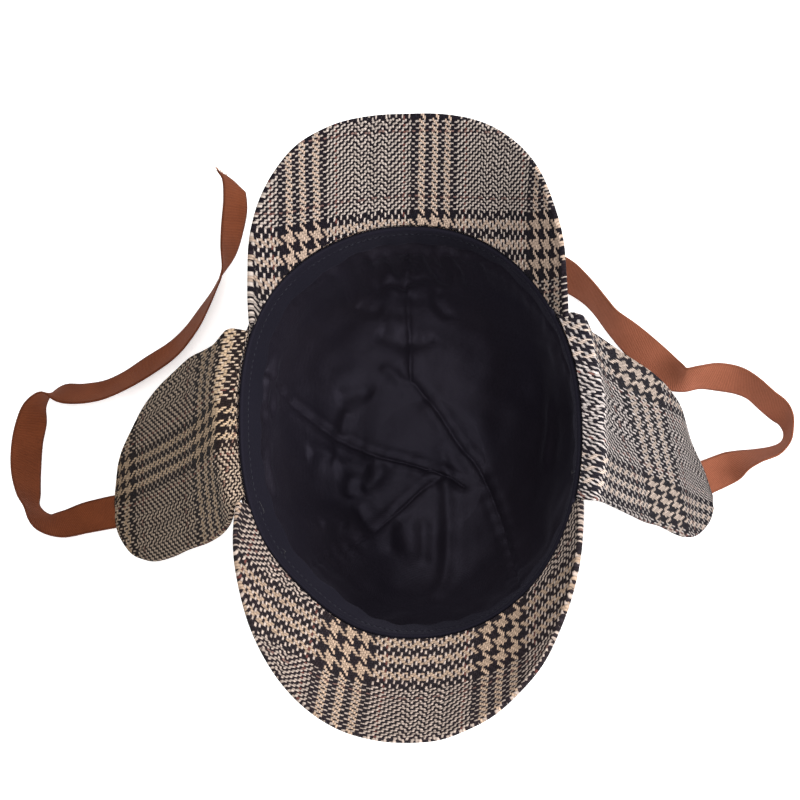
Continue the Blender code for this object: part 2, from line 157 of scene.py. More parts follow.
RIGHT_TIE = (
    (1395, -125, 120, 0), (1450, -100, 70, 0), (1510, -70, 30, -3),
    (1580, -40, 10, -10), (1635, -18, 0, -20), (1690, 5, 0, -44),
    (1770, 28, 0, -60), (1860, 52, 0, -66), (1922, 98, 0, -76),
    (1942, 160, 0, -80), (1930, 228, 0, -71), (1892, 280, 0, -60),
    (1833, 332, 0, -60), (1761, 402, 0, -58), (1678, 450, 0, -50),
    (1577, 470, 0, -50), (1480, 467, 0, -60), (1393, 455, 0, -56),
    (1326, 492, 0, -34), (1242, 574, 0, -25), (1119, 692, 0, -37),
    (1012, 795, 0, -60), (954, 872, 0, -65), (892, 950, 0, -60),
    (812, 1030, 0, -45), (730, 1095, 0, -24), (610, 1165, 0, -8),
    (450, 1215, 0, 0), (280, 1235, 0, 0), (110, 1225, 0, 0),
    (-60, 1195, 0, 0),
)

LEFT_FLAP, RIGHT_FLAP = (np.array(rows) / 1000 for rows in (LEFT_FLAP, RIGHT_FLAP))
LEFT_TIE, RIGHT_TIE = (np.array(rows) / (10000, 10000, 10000, 1) for rows in (LEFT_TIE, RIGHT_TIE))

# How the check lies on each piece: the thread number as a sum of 1, e, n, e*e, e*n, n*n and e*e*e,
# where e and n are decimetres of cloth east and north of the start point
WEAVE = {
    "rear_peak": {
        "start": (0.0, 0.125),
        "warp": (-2.95, 119.72, -10.38, 8.00, 1.04, -6.59, 16.81),
        "weft": (41.62, 0.50, 103.21, 24.52, -1.20, 7.20, -6.14),
    },
    "front_peak": {
        "start": (0.0, -0.125),
        "warp": (45.42, 101.63, -7.19, 7.15, 10.93, -0.57, 10.76),
        "weft": (0.16, 3.24, 108.21, -56.10, 0.73, -14.04, -6.52),
    },
    "left_ear_flap": {
        "start": (-0.130, 0.0),
        "warp": (12.58, -10.94, 119.46, -2.19, 0.88, -1.12, 0.45),
        "weft": (26.13, -60.08, 16.32, -21.24, 9.69, -6.64, -15.15),
    },
    "right_ear_flap": {
        "start": (0.130, 0.0),
        "warp": (48.54, 8.29, 129.06, -13.08, 3.28, -12.29, 17.44),
        "weft": (25.76, -55.12, -26.09, -5.39, 3.62, 11.63, -1.55),
    },
}

# Threads to a repeat of the check: warp threads, and thick weft threads' worth of weft
WARP_REPEAT = 78.0
WEFT_REPEAT = 28.0 + 58.0 / 1.5

# Warp threads of a repeat from which the twill runs back for four threads
TWILL_TURNS = (44.0, 52.0, 60.0)

# Half of how far a float of yarn leans over its length, in threads
BAND_YARN_LEAN = 0.07
FINE_YARN_LEAN = 0.33

# Seams, folds and gathers of the lining: kind, half width and depth inward in metres, then points
# in thousandths on the crown's disc, where 0 is the middle of the bottom and 1000 the rim
LINING_LINES = (
    ("seam", 0.0009, -0.0009, ((-22, 835), (-51, 528), (-53, 376), (-56, 262),
                               (-40, 242), (12, 175), (110, 55), (167, 1),
                               (213, -63), (251, -139), (380, -420), (520, -640))),
    ("seam", 0.0009, -0.0009, ((-726, 271), (-552, 169), (-443, 115), (-325, 69),
                               (-180, 30), (-77, 11), (51, -21), (119, -52))),
    ("seam", 0.0009, -0.0008, ((44, -25), (-21, -62), (-100, -122), (-187, -187),
                               (-277, -249), (-407, -336), (-563, -481))),
    ("fold", 0.0037, 0.0017, ((25, 120), (49, 19), (56, -57), (56, -262),
                              (43, -380), (0, -465), (-53, -550))),
    ("fold", 0.0045, 0.0014, ((544, 193), (519, 120), (491, 39), (470, -49))),
    ("fold", 0.0042, 0.0013, ((-120, -114), (-143, -180), (-132, -289))),
    ("fold", 0.0037, 0.0013, ((-12, -137), (-19, -199), (-14, -317))),
    ("fold", 0.0030, -0.0011, ((-167, 302), (-130, 284), (-89, 258), (-50, 235))),
    ("fold", 0.0050, 0.0020, ((-185, 416), (-124, 393), (-70, 379), (-31, 396))),
    ("fold", 0.0052, 0.0018, ((-335, 185), (-277, 201), (-225, 210), (-191, 194))),
    ("fold", 0.0032, -0.0013, ((-318, 76), (-299, 121), (-274, 161))),
    ("fold", 0.0037, -0.0015, ((-154, 20), (-184, -18), (-253, -58))),
    ("fold", 0.0032, -0.0013, ((-277, -12), (-291, -51), (-287, -88))),
    ("fold", 0.0035, -0.0014, ((-273, -91), (-231, -162), (-212, -209))),
    ("fold", 0.0055, 0.0020, ((-465, -197), (-357, -170), (-296, -192))),
    ("fold", 0.0050, 0.0017, ((-362, -9), (-277, 5), (-205, -5))),
    ("fold", 0.0050, 0.0018, ((-490, 17), (-409, 32), (-352, 9))),
    ("fold", 0.0042, 0.0024, ((-702, 284), (-735, 183), (-764, 74))),
    ("fold", 0.0045, 0.0020, ((-664, 353), (-673, 225), (-659, 104))),
    ("fold", 0.0045, 0.0021, ((-785, 21), (-740, -84), (-676, -181))),
    ("fold", 0.0032, 0.0020, ((-311, 831), (-245, 672), (-184, 566))),
    ("fold", 0.0030, 0.0018, ((-217, 840), (-175, 678), (-154, 538))),
    ("fold", 0.0028, 0.0020, ((-134, 844), (-96, 726), (-68, 649))),
    ("fold", 0.0025, 0.0017, ((-66, 845), (-69, 714), (-85, 607))),
    ("fold", 0.0025, 0.0020, ((-7, 850), (-19, 710), (-58, 597), (-55, 527))),
    ("fold", 0.0028, 0.0024, ((37, 849), (46, 749), (75, 656), (64, 604))),
    ("fold", 0.0028, 0.0020, ((96, 845), (107, 715), (110, 592))),
    ("fold", 0.0030, 0.0024, ((152, 864), (191, 767), (205, 672), (174, 608))),
    ("fold", 0.0032, 0.0018, ((225, 838), (252, 730), (237, 602))),
    ("fold", 0.0035, 0.0017, ((-405, 762), (-321, 616), (-278, 492))),
    ("fold", 0.0030, 0.0014, ((64, 607), (42, 533), (92, 453))),
    ("fold", 0.0032, 0.0018, ((-152, 632), (-86, 611), (-27, 629), (17, 660))),
    ("fold", 0.0035, 0.0014, ((-59, 396), (-10, 377), (28, 404))),
    ("fold", 0.0037, 0.0014, ((-272, 535), (-212, 499), (-140, 506))),
)


def signed_power(value, power):
    """Power of each value's size with its sign kept."""
    return np.sign(value) * np.abs(value) ** power


def rim_point(bearing, outward):
    """Points in plan on the rim's oval grown outward; the last axis holds x and y."""
    power = 2.0 / RIM_SQUARENESS
    bulge = np.ones_like(bearing)
    for middle, half_width, amount in RIM_BULGES:
        turn = (np.degrees(bearing) - middle + 180) % 360 - 180
        bulge = bulge + amount * np.exp(-(turn / half_width) ** 2)
    x = (RIM_HALF_WIDTH * bulge + outward) * signed_power(np.cos(bearing), power)
    y = (RIM_HALF_LENGTH * bulge + outward) * signed_power(np.sin(bearing), power)
    return np.stack([x, y], axis=-1)


def catmull(rows, per_row):
    """Smooth curve through rows of numbers, per_row steps between neighbours."""
    rows = np.array(rows, dtype=float)
    padded = np.vstack([2 * rows[0] - rows[1], rows, 2 * rows[-1] - rows[-2]])
    share = np.linspace(0, 1, per_row, endpoint=False)[:, None]
    parts = []
    for a, b, c, d in zip(padded, padded[1:], padded[2:], padded[3:]):
        parts.append(0.5 * (
            2 * b + (c - a) * share + (2 * a - 5 * b + 4 * c - d) * share ** 2
            + (3 * b - a - 3 * c + d) * share ** 3
        ))
    return np.vstack(parts + [rows[-1:]])


def lengths(points):
    """Running length along a polyline."""
    steps = np.linalg.norm(np.diff(points, axis=0), axis=-1)
    return np.concatenate([np.zeros((1,) + steps.shape[1:]), np.cumsum(steps, axis=0)])


def along(points, shares):
    """Points at shares of a polyline's length."""
    run = lengths(points)
    columns = [np.interp(shares * run[-1], run, points[:, axis]) for axis in range(points.shape[1])]
    return np.stack(columns, axis=-1)


def ripple(x, y, size, seed, count=9):
    """Smooth uneven waves of about the given size, between -1 and 1."""
    dice = np.random.default_rng(seed)
    total = np.zeros(np.broadcast(x, y).shape)
    for _ in range(count):
        angle = dice.uniform(0, 2 * math.pi)
        pace = 2 * math.pi / (size * dice.uniform(0.6, 1.6))
        total = total + np.sin(pace * (x * math.cos(angle) + y * math.sin(angle)) + dice.uniform(0, 7))
    return total / count * 1.8


def grid_normals(grid):
    """Unit normals of a grid of points."""
    normals = np.cross(np.gradient(grid, axis=0), np.gradient(grid, axis=1))
    return normals / np.maximum(np.linalg.norm(normals, axis=2, keepdims=True), 1e-12)


def add_piece(name, verts, faces, uvs=None):
    """One smooth named mesh about the rim's middle, its faces turned outward."""
    faces = np.array(faces)
    corners = verts[faces]
    volume = 0.0
    for one, two in ((1, 2), (2, 3)) if faces.shape[1] == 4 else ((1, 2),):
        volume += np.einsum("ij,ij->i", corners[:, 0], np.cross(corners[:, one], corners[:, two])).sum()
    if volume < 0:
        faces = faces[:, ::-1]
        if uvs is not None and uvs.ndim == 3:
            uvs = uvs[:, ::-1]
    mesh = bpy.data.meshes.new(name)
    mesh.from_pydata((verts + RIM_MIDDLE).tolist(), [], faces.tolist())
    mesh.shade_smooth()
    if uvs is not None:
        per_corner = uvs if uvs.ndim == 3 else uvs[faces]
        layer = mesh.uv_layers.new(name="weave")
        layer.data.foreach_set("uv", per_corner.reshape(-1).astype(np.float32))
    piece = bpy.data.objects.new(name, mesh)
    scene.collection.objects.link(piece)
    return piece


def finish_piece(piece, material, slot, *nodes):
    """Material, body and the CAD nodes that a piece stands for; the slot is not used."""
    piece.data.materials.append(material)
    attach(piece, "root")
    if nodes:
        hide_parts(*nodes)
    return piece


def grid_faces(rows, columns, wrap=False):
    """Quads of a grid of points, joined round its columns if it wraps."""
    index = np.arange(rows * columns).reshape(rows, columns)
    if wrap:
        index = np.hstack([index, index[:, :1]])
    return np.stack([index[:-1, :-1], index[:-1, 1:], index[1:, 1:], index[1:, :-1]], axis=-1).reshape(-1, 4)


def slab(grid, half):
    """Vertices and faces of a closed sheet about a grid, with its half thickness at each point."""
    normals = grid_normals(grid)
    rows, columns = grid.shape[:2]
    verts = np.concatenate([
        (grid + normals * half[:, :, None]).reshape(-1, 3),
        (grid - normals * half[:, :, None]).reshape(-1, 3),
    ])
    size = rows * columns
    near = grid_faces(rows, columns)
    index = np.arange(size).reshape(rows, columns)
    border = np.concatenate([index[0], index[1:, -1], index[-1, -2::-1], index[-2:0:-1, 0]])
    after = np.roll(border, -1)
    sides = np.stack([border, border + size, after + size, after], axis=-1)
    return verts, np.concatenate([near, near[:, ::-1] + size, sides])


def peak_grid(shape, across, out):
    """Middle surface of a peak at shares across it and out from its root."""
    first, last = np.radians(shape["root"])
    root = along(rim_point(np.linspace(first, last, 400), PEAK_ROOT_OFFSET), across)
    power = 2.0 / shape["squareness"]
    angle = np.linspace(0, math.pi, 400)
    aside = np.sign(shape["tip"]) * signed_power(np.cos(angle), power)
    x = shape["middle"] + shape["half_width"] * aside
    near = np.interp(aside, (-1, 1), shape["near"])
    y = near + (shape["tip"] - near) * signed_power(np.sin(angle), power)
    edge = along(np.stack([x, y], axis=-1), across)
    side = np.abs(2 * across - 1)
    rise = shape["rise"] * (1 - (1 - shape["end_rise"]) * side ** 5)
    grid = np.zeros((len(out), len(across), 3))
    grid[:, :, :2] = root * (1 - out[:, None, None]) + edge * out[:, None, None]
    belly = shape["belly"] * np.sin(math.pi * out)[:, None] * (1 - side ** 2)
    grid[:, :, 2] = RIM_HEIGHT + rise * out[:, None] - belly + GAP + PEAK_WALL / 2 * 0.85
    return grid


def flap_grid(rows, side, across, out):
    """Middle surface of a flap at shares across its root and out from the rim."""
    line = rim_point(np.linspace(-1.3, 1.3, 300) * side + (0.0 if side > 0 else math.pi), 0.0)
    fine = catmull(rows, 12)
    where = out * (len(fine) - 1)
    row = np.stack([np.interp(where, np.arange(len(fine)), fine[:, k]) for k in range(8)])[:, :, None]
    rear_out, rear, front_out, front, rear_height, front_height, follow, arch = row
    y = FLAP_HALF_ROOT * (rear + (front - rear) * across)
    start = np.interp(y, line[:, 1], np.abs(line[:, 0])) * follow + RIM_HALF_WIDTH * (1 - follow)
    reach = rear_out + (front_out - rear_out) * across
    height = rear_height + (front_height - rear_height) * across
    z = RIM_HEIGHT * height + FLAP_REACH * arch * np.sin(math.pi * across)
    return np.stack([side * (start + reach * FLAP_REACH), y, z], axis=-1)


def thread_numbers(name, grid, side):
    """Warp and weft thread numbers of a piece's cloth, measured along it from the root on a flap."""
    cloth = grid[:, :, :2].copy()
    if side:
        cloth[:, :, 0] = grid[:1, :, 0] + side * lengths(grid)
    east, north = ((cloth[:, :, axis] - WEAVE[name]["start"][axis]) * 10 for axis in (0, 1))
    terms = np.stack([
        np.ones_like(east), east, north, east * east, east * north, north * north, east * east * east,
    ])
    yarns = (np.array(WEAVE[name][yarn]) for yarn in ("warp", "weft"))
    return np.stack([np.tensordot(yarn, terms, axes=1) for yarn in yarns], axis=-1)


def edged_shares(count, ends, edge=0.030, fine=7):
    """Shares from 0 to 1 with extra steps at the rounded ends: 1 for the last end, 2 for both."""
    curve = edge * (1 - np.cos(np.linspace(0, math.pi / 2, fine)))
    last = 1 - curve[::-1]
    first = curve if ends == 2 else np.array([0.0])
    middle = np.linspace(first[-1], last[0], count)[1:-1]
    return np.concatenate([first, middle, last])


def rounded(distance, radius):
    """Share of the full thickness at a distance from a rounded edge."""
    near = np.clip(distance / radius, 0, 1)
    return np.sqrt(np.clip(1 - (1 - near) ** 2, 0.002, 1))


def cloth_slab(name, make_grid, side, across, out, wall, seam_inset, slot, material):
    """A thick tweed piece with rounded, turned edges and a slightly uneven surface."""
    grid = make_grid(across, out)
    threads = thread_numbers(name, grid, side).reshape(-1, 2)
    down = lengths(grid)
    over = np.swapaxes(lengths(np.swapaxes(grid, 0, 1)), 0, 1)
    to_edge = np.minimum(down[-1:] - down, np.minimum(over, over[:, -1:] - over))
    radius = wall * 0.5
    half = wall / 2 * rounded(to_edge, radius)
    half *= 1 - 0.16 * np.exp(-((to_edge - seam_inset) / 0.0011) ** 2)
    half *= 1 + 0.05 * np.exp(-((to_edge - seam_inset * 0.45) / 0.0014) ** 2)
    free = np.clip(down / 0.012, 0, 1)
    sway = 0.00045 * ripple(grid[:, :, 0], grid[:, :, 1], 0.030, 11) * free
    grid = grid + grid_normals(grid) * sway[:, :, None]
    verts, faces = slab(grid, half)
    piece = add_piece(name + "_cloth", verts, faces, np.concatenate([threads, threads]))
    if side:
        # Flaps: share from 1 on the root roll to 0 past it, lightening the tweed there as painted light where the
        # roll faces up
        root_painted_light = np.clip((0.017 - down) / 0.007, 0, 1).reshape(-1)
        attribute = piece.data.attributes.new("root_painted_light", "FLOAT", "POINT")
        attribute.data.foreach_set("value", np.concatenate([root_painted_light, root_painted_light]).astype(np.float32))
    return finish_piece(piece, material, slot, name)


# Crown cup, its path from the rim to the middle of its bottom
PROFILE = catmull(CROWN_PROFILE + ((0.0, 0.0),), 12)
PROFILE[:, 0] = np.clip(PROFILE[:, 0], 0, None)
CROWN_MEAN = 0.5 * (RIM_HALF_WIDTH + RIM_HALF_LENGTH)
PROFILE_RUN = lengths(PROFILE * (RIM_HEIGHT, CROWN_MEAN))
PROFILE_SHARE = 1 - PROFILE_RUN / PROFILE_RUN[-1]


def cup_grid(bearing, share, inset):
    """Points of the crown's cup, its height shares and the bearing's gore seams."""
    height = np.interp(share, PROFILE_SHARE[::-1], PROFILE[::-1, 0])
    reach = np.interp(share, PROFILE_SHARE[::-1], PROFILE[::-1, 1])
    plan = rim_point(bearing, GAP + CROWN_WALL - inset)
    fade = np.sin(math.pi * np.clip(height / 0.92, 0, 1)) ** 0.7
    seam = 1 - np.abs(np.sin(bearing * GORES / 2)) ** 0.5
    wave = np.zeros_like(bearing)
    for count, depth, phase in CROWN_WAVES:
        wave = wave + depth * np.sin(count * bearing + math.radians(phase))
    scale = reach * (1 + fade * (wave - GORE_SEAM_DIP * seam))
    z = inset + (RIM_HEIGHT - inset) * height
    return np.stack([plan[..., 0] * scale, plan[..., 1] * scale, z], axis=-1), height


def cup_piece(name, grids, uvs=None):
    """Closed cup of rings from its outer bottom up to the rim and down to its inner bottom."""
    grid = np.concatenate(grids)
    rows, columns = grid.shape[:2]
    size = rows * columns
    verts = np.concatenate([grid.reshape(-1, 3), grid[0].mean(axis=0)[None], grid[-1].mean(axis=0)[None]])
    quads = grid_faces(rows, columns, wrap=True)
    ring = np.arange(columns)
    after = np.roll(ring, -1)
    last = size - columns
    fans = np.concatenate([
        np.stack([after, ring, np.full(columns, size)], axis=-1),
        np.stack([last + ring, last + after, np.full(columns, size + 1)], axis=-1),
    ])
    mesh = bpy.data.meshes.new(name)
    mesh.from_pydata((verts + RIM_MIDDLE).tolist(), [], quads.tolist() + fans.tolist())
    mesh.shade_smooth()
    if uvs is not None:
        corners = np.stack([uvs[:-1, :, 0], uvs[:-1, :, 1], uvs[1:, :, 1], uvs[1:, :, 0]], axis=2)
        flat = np.concatenate([corners.reshape(-1, 2), np.zeros((fans.size, 2))])
        layer = mesh.uv_layers.new(name="weave")
        layer.data.foreach_set("uv", flat.reshape(-1).astype(np.float32))
    piece = bpy.data.objects.new(name, mesh)
    scene.collection.objects.link(piece)
    return piece


def build_crown(material):
    """Tweed shell of eight gores with pressed seams, the cloth charted on each gore."""
    per_gore = 36
    columns = GORES * per_gore
    bearing = 2 * math.pi * np.arange(columns) / columns
    share = np.concatenate([np.linspace(0.02, 0.60, 26), np.linspace(0.62, 1.0, 60)])
    turn, level = np.meshgrid(bearing, share)
    outer, height = cup_grid(turn, level, 0.0)
    normals = -grid_normals(outer)
    normals *= np.sign((normals[:, :, :2] * outer[:, :, :2]).sum(axis=2).mean())
    radius = np.linalg.norm(outer[:, :, :2], axis=2)
    off_seam = np.abs((turn * GORES / (2 * math.pi) + 0.5) % 1 - 0.5) * 2 * math.pi / GORES * radius
    raised = np.clip((1 - height) / 0.06, 0, 1) * np.clip(outer[:, :, 2] / 0.004, 0, 1)
    push = 0.00035 * np.exp(-((off_seam - 0.0035) / 0.0022) ** 2) - 0.0010 * np.exp(-(off_seam / 0.0009) ** 2)
    push += 0.0006 * ripple(turn * 0.09, level * 0.17, 0.035, 5)
    outer = outer + normals * (push * raised)[:, :, None]
    outer[:, :, 2] = np.maximum(outer[:, :, 2], 0.0)
    inner, _ = cup_grid(*np.meshgrid(bearing, np.linspace(1.0, 0.02, 50)), CROWN_WALL)
    lip, _ = cup_grid(*np.meshgrid(bearing, np.array([1.0, 1.0])), CROWN_WALL / 2)
    lip[0, :, 2] += 0.0002
    grids = [outer, lip[:1], inner]
    whole = np.concatenate(grids)
    run = np.linalg.norm(np.roll(whole, -1, axis=1) - whole, axis=2)
    run = np.concatenate([np.zeros((len(whole), 1)), np.cumsum(run, axis=1)], axis=1)
    down = np.concatenate([np.interp(share, PROFILE_SHARE[::-1], PROFILE_RUN[::-1]), np.linspace(-0.0012, -0.13, 51)])
    gore = np.arange(columns) // per_gore
    middle = run[:, gore * per_gore + per_gore // 2]
    uvs = np.zeros((len(whole), columns, 2, 2))
    for corner in (0, 1):
        uvs[:, :, corner, 0] = (run[:, corner:columns + corner] - middle) / 0.00085 + 14 + 39 * gore
        uvs[:, :, corner, 1] = -down[:, None] / 0.00120 + 30
    piece = cup_piece("crown_cloth", grids, uvs)
    return finish_piece(piece, material, "tweed_crown", "crown")


def line_distance(points, line):
    """Distance of each point from a polyline, and the share of its length there."""
    best = np.full(len(points), 9.0)
    where = np.zeros(len(points))
    run = lengths(line)
    for start, end, before, after in zip(line, line[1:], run, run[1:]):
        step = end - start
        share = np.clip(((points - start) @ step) / (step @ step), 0, 1)
        gap = np.linalg.norm(points - start - share[:, None] * step, axis=1)
        nearer = gap < best
        best[nearer] = gap[nearer]
        where[nearer] = (before + share[nearer] * (after - before)) / run[-1]
    return best, where, run[-1]


def build_lining(material):
    """Loose lining with its seams, gathers and folds pushed out of the cloth."""
    columns = 400
    bearing = 2 * math.pi * np.arange(columns) / columns
    share = np.linspace(0.985, 0.010, 190)
    turn, level = np.meshgrid(bearing, share)
    inset = CROWN_WALL + GAP
    inner, height = cup_grid(turn, level, inset + LINING_WALL)
    normals = grid_normals(inner)
    if (normals[:90, :, :2] * inner[:90, :, :2]).sum() > 0:
        normals = -normals
    east, north = level * np.cos(turn), level * np.sin(turn)
    push = 0.0020 + 0.0013 * ripple(east * 0.17, north * 0.17, 0.055, 21)
    push += 0.0005 * ripple(east * 0.17, north * 0.17, 0.022, 22)
    for middle, rise, half_width, half_height, depth in LINING_CREASES:
        off = (np.degrees(turn) - middle + 180) % 360 - 180
        push += 0.55 * depth * np.exp(-(off / half_width) ** 2 - ((height - rise) / half_height) ** 2)
    flat = inner.reshape(-1, 3)
    lines = np.zeros(len(flat))
    for kind, half_width, depth, points in LINING_LINES:
        disc = catmull(np.array(points) / 1000, 4)
        line, _ = cup_grid(
            np.arctan2(disc[:, 1], disc[:, 0])[None], np.hypot(disc[:, 0], disc[:, 1])[None], inset + LINING_WALL
        )
        gap, where, length = line_distance(flat, line[0])
        if kind == "seam":
            lines += depth * np.exp(-(gap / half_width) ** 2)
            pucker = np.sin(where * length / 0.0105 * 2 * math.pi + 3 * np.sin(where * 9))
            lines += 0.00022 * pucker * np.exp(-(gap / 0.0065) ** 2)
            lines += 0.0006 * np.exp(-((gap - 0.0042) / 0.0026) ** 2)
        else:
            taper = np.clip(np.minimum(where, 1 - where) / 0.22, 0, 1)
            taper = taper * taper * (3 - 2 * taper) * (gap < 5 * half_width)
            lines += depth * taper * np.exp(-(gap / half_width) ** 2)
            lines -= 0.22 * depth * taper * np.exp(-((gap - 2.1 * half_width) / half_width) ** 2)
    push = push + lines.reshape(push.shape)
    under_band = np.clip((CREASE_TOP - height) / CREASE_FADE, 0, 1)
    under_band = under_band * under_band * (3 - 2 * under_band)
    gathers = 0.0004 * np.sin(turn * 74 + 2.2 * np.sin(turn * 5)) * np.clip((height - 0.55) / 0.25, 0, 1)
    push = (push + gathers) * under_band
    inner = inner + normals * push[:, :, None]
    top = 1.0 - (BAND_WALL + GAP) / RIM_HEIGHT
    inner[:, :, 2] = np.minimum(inner[:, :, 2], RIM_HEIGHT * top)
    outer, _ = cup_grid(*np.meshgrid(bearing, np.linspace(0.010, 0.985, 40)), inset)
    piece = cup_piece("lining_cloth_piece", [outer, inner])
    return finish_piece(piece, material, "lining_cloth", "lining")


def band_lean(bearing):
    """How far the sweatband's lower edge stands inward at each bearing."""
    return BAND_LEAN + BAND_LEAN_SWING * np.cos(bearing - BAND_LEAN_SIDE)


# Section of the sweatband: inward, height over the rim, share of the lean
BAND_SECTION = (
    (0.0000, -0.0011, 0.00), (0.0000, 0.0001, 0.00), (0.0004, 0.0009, 0.00), (0.0011, 0.0013, 0.00),
    (0.0018, 0.0011, 0.00), (0.0024, 0.0004, 0.00), (0.0026, -0.0010, 0.04), (0.0026, -0.0032, 0.18),
    (0.0024, -0.0046, 0.26), (0.0026, -0.0060, 0.34), (0.0026, -0.0100, 0.56), (0.0026, -0.0140, 0.78),
    (0.0025, -0.0172, 0.96), (0.0020, -0.0180, 1.00), (0.0014, -0.0176, 0.98), (0.0013, -0.0120, 0.67),
    (0.0013, -0.0060, 0.34), (0.0013, -0.0016, 0.06), (0.0006, -0.0012, 0.00),
)


def build_band(material):
    """Sweatband rolled over the rim, with a stitched line and a soft, uneven lower part."""
    columns = 640
    bearing = 2 * math.pi * np.arange(columns) / columns
    closed = np.array(BAND_SECTION + BAND_SECTION[:1])
    section = catmull(closed, 3)[:-1]
    rings = []
    for inward, rise, lean in section:
        wave = 0.00045 * np.sin(bearing * 31 + 2 * np.sin(bearing * 4)) + 0.0005 * np.sin(bearing * 9 + 1)
        pucker = 0.00016 * np.sin(bearing * 170) * math.exp(-((rise + 0.0046) / 0.0016) ** 2)
        plan = rim_point(bearing, -inward - lean * (band_lean(bearing) + wave) - pucker)
        rings.append(np.concatenate([plan, np.full((columns, 1), RIM_HEIGHT + rise)], axis=1))
    grid = np.array(rings + rings[:1])
    rows = len(rings)
    faces = grid_faces(rows + 1, columns, wrap=True) % (rows * columns)
    piece = add_piece("sweatband_cloth", grid[:-1].reshape(-1, 3), faces)
    return finish_piece(piece, material, "band_cloth", "sweatband")


def tubes(name, paths, radii):
    """Thin closed tubes along paths, tapered to their ends, joined in one mesh."""
    verts, quads = [], []
    sides = 6
    for path, radius in zip(paths, radii):
        path = np.array(path, dtype=float)
        heading = np.gradient(path, axis=0)
        heading /= np.linalg.norm(heading, axis=1, keepdims=True)
        first = np.cross(heading, (0.31, 0.17, 0.93))
        first /= np.linalg.norm(first, axis=1, keepdims=True)
        second = np.cross(heading, first)
        size = radius * np.sqrt(np.sin(math.pi * np.linspace(0.04, 0.96, len(path))))
        base = len(verts)
        for point, one, two, reach in zip(path, first, second, size):
            for side in range(sides):
                angle = 2 * math.pi * side / sides
                verts.append(point + reach * (one * math.cos(angle) + two * math.sin(angle)))
        quads += [
            (base + row * sides + side, base + row * sides + (side + 1) % sides,
             base + (row + 1) * sides + (side + 1) % sides, base + (row + 1) * sides + side)
            for row in range(len(path) - 1) for side in range(sides)
        ]
        end = base + (len(path) - 1) * sides
        quads += [
            (base + 3, base + 2, base + 1, base), (base + 5, base + 4, base + 3, base),
            (end, end + 1, end + 2, end + 3), (end, end + 3, end + 4, end + 5),
        ]
    return add_piece(name, np.array(verts), quads)


def build_stitches(material):
    """Line of stitches round the sweatband, a little under its roll."""
    around = np.linspace(0, 2 * math.pi, 2000)
    plan = rim_point(around, -0.0025 - 0.26 * band_lean(around))
    run = lengths(plan)
    level = np.full(5, RIM_HEIGHT - 0.0046)
    pitch = 0.0031
    count = int(run[-1] / pitch)
    paths = []
    for number in range(count):
        spot = (number + np.linspace(0.08, 0.76, 5)) * run[-1] / count
        x, y = np.interp(spot, run, plan[:, 0]), np.interp(spot, run, plan[:, 1])
        sink = 0.0002 * np.abs(np.linspace(-1, 1, 5)) ** 2
        reach = np.hypot(x, y)
        paths.append(np.stack([x * (1 + sink / reach), y * (1 + sink / reach), level], axis=-1))
    piece = tubes("sweatband_stitches", paths, [0.00026] * count)
    return finish_piece(piece, material, "band_cloth")


def tape_frame(route, run):
    """Middle, width direction and face direction of a tape at run lengths along its route."""
    fine = catmull(route, 12)
    plan_run = lengths(fine[:, :2])
    x, y, lift, lean = (np.interp(run, plan_run, fine[:, k]) for k in range(4))
    ahead = np.interp(run + 0.001, plan_run, fine[:, 0]), np.interp(run + 0.001, plan_run, fine[:, 1])
    behind = np.interp(run - 0.001, plan_run, fine[:, 0]), np.interp(run - 0.001, plan_run, fine[:, 1])
    east, north = ahead[0] - behind[0], ahead[1] - behind[1]
    size = np.hypot(east, north)
    east, north = east / size, north / size
    lean = np.radians(lean)
    flat = np.zeros_like(east)
    width = np.stack([-north * np.cos(lean), east * np.cos(lean), np.sin(lean)], axis=-1)
    face = np.cross(np.stack([east, north, flat], axis=-1), width)
    stand = TIE_WIDTH / 2 * np.abs(np.sin(lean)) + TIE_WALL / 2 * np.abs(np.cos(lean))
    return np.stack([x, y, GAP + stand + lift], axis=-1), width, face


def build_tie(name, route, cut, material, slot):
    """Ribbed tape along its route, its far end cut slantwise by the given length."""
    total = lengths(catmull(route, 12)[:, :2])[-1]
    across = np.linspace(1, -1, 13)
    steps = int(total / 0.0016)
    shares = np.linspace(0, 1, steps)
    grid = np.zeros((steps, len(across), 3))
    half = np.zeros((steps, len(across)))
    cloth = np.zeros((steps, len(across), 2))
    for column, spot in enumerate(across):
        run = shares * (total - cut * (1 - spot) / 2)
        middle, width, face = tape_frame(route, run)
        curl = 0.0006 * (spot ** 2 - 0.4) * np.sin(run / 0.045 + 0.6) + 0.00018 * np.sin(run / 0.0062 + 2 * spot)
        grid[:, column] = middle + width * (TIE_WIDTH / 2 * spot) + face * curl[:, None]
        half[:, column] = TIE_WALL / 2 * (0.78 + 0.22 * math.exp(-((abs(spot) - 0.93) / 0.08) ** 2))
        cloth[:, column, 0] = spot * TIE_WIDTH / 2
        cloth[:, column, 1] = run
    grid[:, :, 2] = np.maximum(grid[:, :, 2], GAP + half)
    verts, faces = slab(grid, half)
    flat = cloth.reshape(-1, 2)
    piece = add_piece(name + "_tape", verts, faces, np.concatenate([flat, flat]))
    finish_piece(piece, material, slot, name)
    centre, _, _ = tape_frame(route, np.linspace(0, total, 90))
    return piece, centre + RIM_MIDDLE, grid


